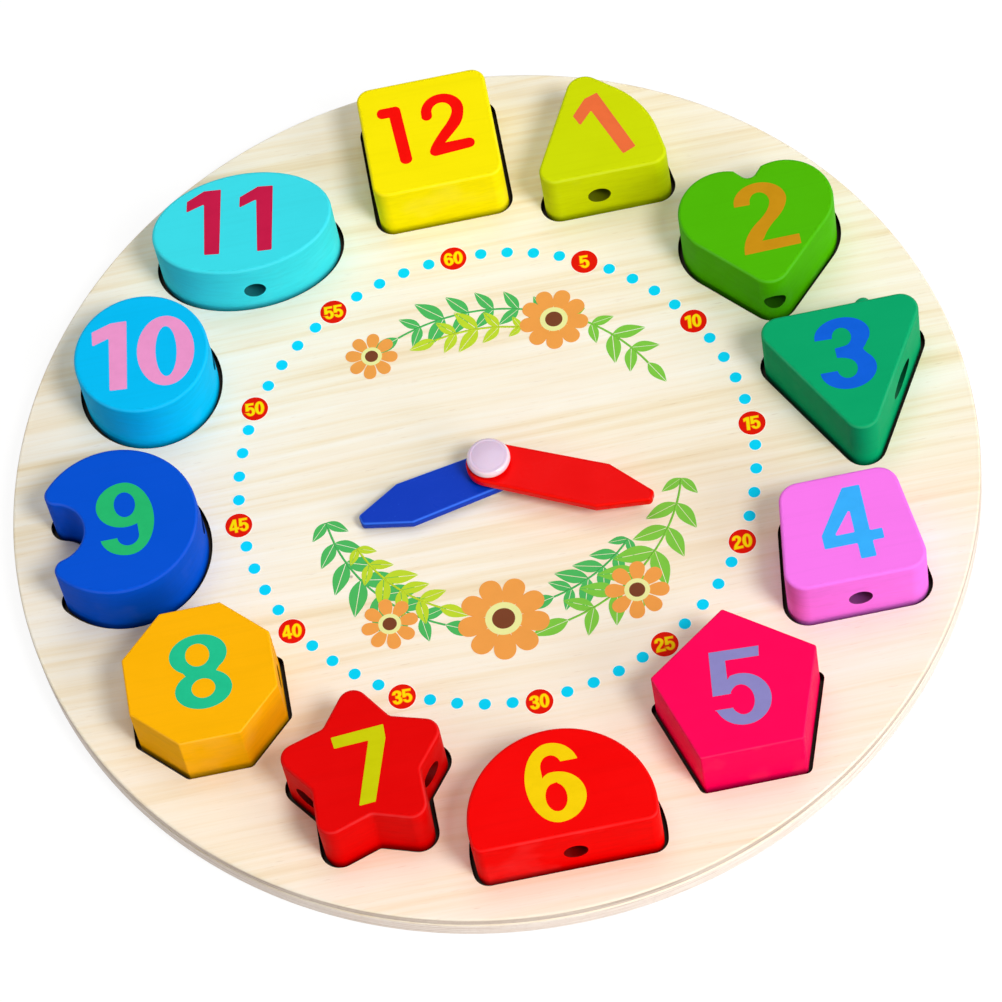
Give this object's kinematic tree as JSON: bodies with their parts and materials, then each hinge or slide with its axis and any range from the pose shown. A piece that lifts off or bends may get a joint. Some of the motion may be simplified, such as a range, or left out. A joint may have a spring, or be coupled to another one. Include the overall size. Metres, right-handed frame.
{
  "type": "wooden teaching clock",
  "caption": "Round wooden teaching clock with shaped lift-out hour blocks, each cross-bored for a lacing cord, and two turning hands on a centre pin.",
  "frame": {"origin": "centre of the base board's underside, on the axis of the centre pin", "axes": "+Z out of the face, +Y towards twelve o'clock, +X towards three o'clock"},
  "size_m": [0.225, 0.225, 0.0226],
  "materials": {
    "face_birch": "pale plywood with a satin varnish, printed",
    "base_birch": "pale plywood with a satin varnish",
    "block_12_square_paint": "satin toy paint",
    "block_1_quadrant_paint": "satin toy paint",
    "block_2_heart_paint": "satin toy paint",
    "block_3_triangle_paint": "satin toy paint",
    "block_4_trapezoid_paint": "satin toy paint",
    "block_5_pentagon_paint": "satin toy paint",
    "block_6_half_round_paint": "satin toy paint",
    "block_7_star_paint": "satin toy paint",
    "block_8_octagon_paint": "satin toy paint",
    "block_9_notched_disc_paint": "satin toy paint",
    "block_10_disc_paint": "satin toy paint",
    "block_11_oval_paint": "satin toy paint",
    "hour_hand_paint": "satin toy paint",
    "minute_hand_paint": "satin toy paint",
    "pin_plastic": "smooth, slightly milky",
    "socket_plastic": "smooth",
    "washer_nylon": "matte"
  },
  "bodies": {
    "clock": {"base_board": "base_birch", "face_board": "face_birch", "rear_socket": "socket_plastic", "hour_washer": "washer_nylon", "minute_washer": "washer_nylon", "centre_pin": "pin_plastic"},
    "hour_hand": {"hour_hand": "hour_hand_paint"},
    "minute_hand": {"minute_hand": "minute_hand_paint"},
    "block_12_square": {"block_12_square": "block_12_square_paint"},
    "block_1_quadrant": {"block_1_quadrant": "block_1_quadrant_paint"},
    "block_2_heart": {"block_2_heart": "block_2_heart_paint"},
    "block_3_triangle": {"block_3_triangle": "block_3_triangle_paint"},
    "block_4_trapezoid": {"block_4_trapezoid": "block_4_trapezoid_paint"},
    "block_5_pentagon": {"block_5_pentagon": "block_5_pentagon_paint"},
    "block_6_half_round": {"block_6_half_round": "block_6_half_round_paint"},
    "block_7_star": {"block_7_star": "block_7_star_paint"},
    "block_8_octagon": {"block_8_octagon": "block_8_octagon_paint"},
    "block_9_notched_disc": {"block_9_notched_disc": "block_9_notched_disc_paint"},
    "block_10_disc": {"block_10_disc": "block_10_disc_paint"},
    "block_11_oval": {"block_11_oval": "block_11_oval_paint"}
  },
  "joints": [
    {"name": "hour_hand_turn", "type": "hinge", "parent": "clock", "child": "hour_hand", "pos_m": [0, 0, 0.0097], "axis": [0, 0, 1], "continuous": true},
    {"name": "minute_hand_turn", "type": "hinge", "parent": "clock", "child": "minute_hand", "pos_m": [0, 0, 0.0134], "axis": [0, 0, 1], "continuous": true},
    {"name": "block_12_square_lift", "type": "slide", "parent": "clock", "child": "block_12_square", "axis": [0, 0, 1], "range_m": [0, 0.03]},
    {"name": "block_1_quadrant_lift", "type": "slide", "parent": "clock", "child": "block_1_quadrant", "axis": [0, 0, 1], "range_m": [0, 0.03]},
    {"name": "block_2_heart_lift", "type": "slide", "parent": "clock", "child": "block_2_heart", "axis": [0, 0, 1], "range_m": [0, 0.03]},
    {"name": "block_3_triangle_lift", "type": "slide", "parent": "clock", "child": "block_3_triangle", "axis": [0, 0, 1], "range_m": [0, 0.03]},
    {"name": "block_4_trapezoid_lift", "type": "slide", "parent": "clock", "child": "block_4_trapezoid", "axis": [0, 0, 1], "range_m": [0, 0.03]},
    {"name": "block_5_pentagon_lift", "type": "slide", "parent": "clock", "child": "block_5_pentagon", "axis": [0, 0, 1], "range_m": [0, 0.03]},
    {"name": "block_6_half_round_lift", "type": "slide", "parent": "clock", "child": "block_6_half_round", "axis": [0, 0, 1], "range_m": [0, 0.03]},
    {"name": "block_7_star_lift", "type": "slide", "parent": "clock", "child": "block_7_star", "axis": [0, 0, 1], "range_m": [0, 0.03]},
    {"name": "block_8_octagon_lift", "type": "slide", "parent": "clock", "child": "block_8_octagon", "axis": [0, 0, 1], "range_m": [0, 0.03]},
    {"name": "block_9_notched_disc_lift", "type": "slide", "parent": "clock", "child": "block_9_notched_disc", "axis": [0, 0, 1], "range_m": [0, 0.03]},
    {"name": "block_10_disc_lift", "type": "slide", "parent": "clock", "child": "block_10_disc", "axis": [0, 0, 1], "range_m": [0, 0.03]},
    {"name": "block_11_oval_lift", "type": "slide", "parent": "clock", "child": "block_11_oval", "axis": [0, 0, 1], "range_m": [0, 0.03]}
  ]
}
